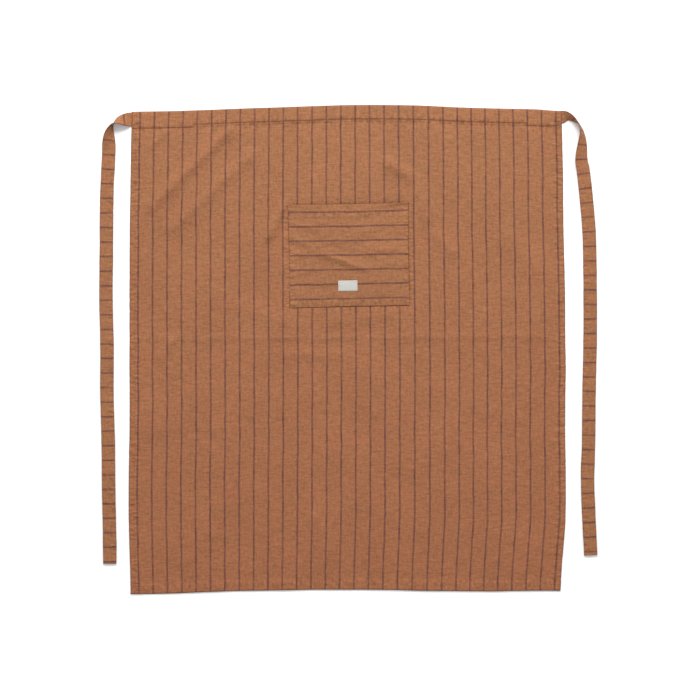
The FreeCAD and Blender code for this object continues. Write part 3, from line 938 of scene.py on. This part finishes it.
def on_pocket(a, b):
    """The top of the pocket's cloth at a point in its axes."""
    world = pocket_world(*pocket_edges(a, b))
    return Vector((world.x, world.y, pocket_height(a, b, world) + CLOTH / 2))


for node, depth in (
    ("waist_stitching", 1 - 2 * (CASING - SEAM_IN) / cloth_length),
    ("bottom_hem_stitching", -1 + 2 * (BOTTOM_HEM - SEAM_IN) / cloth_length),
):
    run = bmesh.new()
    sew(run, lambda at: on_panel(-RUN_END + 2 * RUN_END * at / full_width, depth), full_width)
    finish_thread(node, run)

for node, line in (
    ("left_hem_stitching", -1 + (SIDE_HEM - SEAM_IN) / HALF_WIDTH),
    ("right_hem_stitching", 1 - (SIDE_HEM - SEAM_IN) / HALF_WIDTH),
):
    run = bmesh.new()
    sew(run, lambda at: on_panel(line, -RUN_END + 2 * RUN_END * at / cloth_length), cloth_length)
    finish_thread(node, run)

run = bmesh.new()
stitched_half, stitched_foot = POCKET_HALF - POCKET_SEAM, POCKET_SEAM - POCKET_TALL / 2
stitched_rise = POCKET_TALL / 2 - stitched_foot - 0.001
sew(run, lambda at: on_pocket(-stitched_half, stitched_foot + at), stitched_rise)
sew(run, lambda at: on_pocket(stitched_half, stitched_foot + at), stitched_rise)
sew(run, lambda at: on_pocket(at - stitched_half, stitched_foot), 2 * stitched_half)
finish_thread("pocket_stitching", run)

run = bmesh.new()
mouth_line = POCKET_TALL / 2 - POCKET_HEM + SEAM_IN
sew(run, lambda at: on_pocket(at - stitched_half, mouth_line), 2 * stitched_half)
finish_thread("pocket_mouth_stitching", run)

run = bmesh.new()
for end in (-1, 1):
    for tooth in range(12):
        a = end * (stitched_half - 0.0005 * tooth)
        low = on_pocket(a, POCKET_TALL / 2 - 0.0042)
        high = on_pocket(a + end * 0.0003, POCKET_TALL / 2 - 0.0026)
        add_stitch(run, low, high, 0.2)
finish_thread("pocket_bar_tacks", run)


def on_label(a, b):
    """The top of the label's tape at a point in the pocket's axes."""
    world = pocket_world(a, b)
    return Vector((world.x, world.y, label_height(a, b, world) + LABEL_THICK / 2))


run = bmesh.new()
for end in (-1, 1):
    a = LABEL_MIDDLE.x + end * (LABEL_WIDE / 2 - LABEL_SEAM)
    low = LABEL_MIDDLE.y - LABEL_TALL / 2 + 0.0008
    sew(run, lambda at: on_label(a, low + at), LABEL_TALL - 0.0016)
finish_thread("label_stitching", run)


def on_tie(tie, at, face):
    """A face of the tie's cloth, 3 mm in from the edge that its raw edges are folded to."""
    spot = tie_surface(*tie, at, TOPSTITCH)
    step = tie_surface(*tie, at + 0.001, TOPSTITCH) - spot
    across = tie_surface(*tie, at, TOPSTITCH + 0.1) - spot
    return spot + step.cross(across).normalized() * face * (TIE_THICK / 2)


for hand, (piece, route, neck) in ties.items():
    run = bmesh.new()
    tie, sewn = (hand, route, neck), route.length - FIRST_TIE_STITCH - 0.003
    for face in (-1, 1):
        sew(run, lambda at: on_tie(tie, FIRST_TIE_STITCH + at, face), sewn)
    piece = finish_thread(f"{hand}_tie_stitching", run, None)
    blend_tie(piece)
    run = bmesh.new()
    for off in (0.005, 0.015):
        line = (-1 if hand == "left" else 1) * (1 - off / HALF_WIDTH)
        sew(run, lambda at: on_panel(line, 1 - (0.0025 + at) / HALF_LENGTH), CASING - 0.005)
    finish_thread(f"{hand}_tie_anchor_stitching", run)


# ---------------------------------------------------------------------------------------
# Studio. The apron lies on a white table, under one broad soft light beyond its waist edge
# and a bright room, and is seen from straight above.
# ---------------------------------------------------------------------------------------
FRAME_WIDTH, LENS, SENSOR = 1.157, 100.0, 36.0
FRAME_CENTRE = (0.0043, -0.0008)


def white_table():
    """Smooth matt laminate, near white."""
    material = new_material("white_laminate")
    tree = material.node_tree
    shader = add(tree, "BsdfPrincipled", {"Base Color": linear("#F4F4F4"), "Roughness": 0.7})
    add(tree, "OutputMaterial", {"Surface": shader})
    return material


mesh = bmesh.new()
bmesh.ops.create_grid(mesh, x_segments=1, y_segments=1, size=6)
floor = finish_piece("floor", mesh, white_table())

lamp = bpy.data.lights.new("softbox", "AREA")
lamp.shape, lamp.size, lamp.size_y, lamp.energy = "RECTANGLE", 2.0, 1.2, 108
softbox = bpy.data.objects.new("softbox", lamp)
softbox.location = (0.05, 2.4, 2.0)
aim = Vector((0, 0.05, 0)) - softbox.location
softbox.rotation_euler = aim.to_track_quat("-Z", "Y").to_euler()
bpy.context.scene.collection.objects.link(softbox)

world = bpy.data.worlds.new("bright room")
world.use_nodes = True
room = world.node_tree.nodes["Background"]
room.inputs["Color"].default_value = (1, 1, 1, 1)
room.inputs["Strength"].default_value = 0.72
bpy.context.scene.world = world
bpy.context.scene.view_settings.view_transform = "Standard"

lens = bpy.data.cameras.new("camera")
lens.lens, lens.sensor_width = LENS, SENSOR
camera = bpy.data.objects.new("camera", lens)
camera.location = (*FRAME_CENTRE, FRAME_WIDTH * LENS / SENSOR)
bpy.context.scene.collection.objects.link(camera)
bpy.context.scene.camera = camera
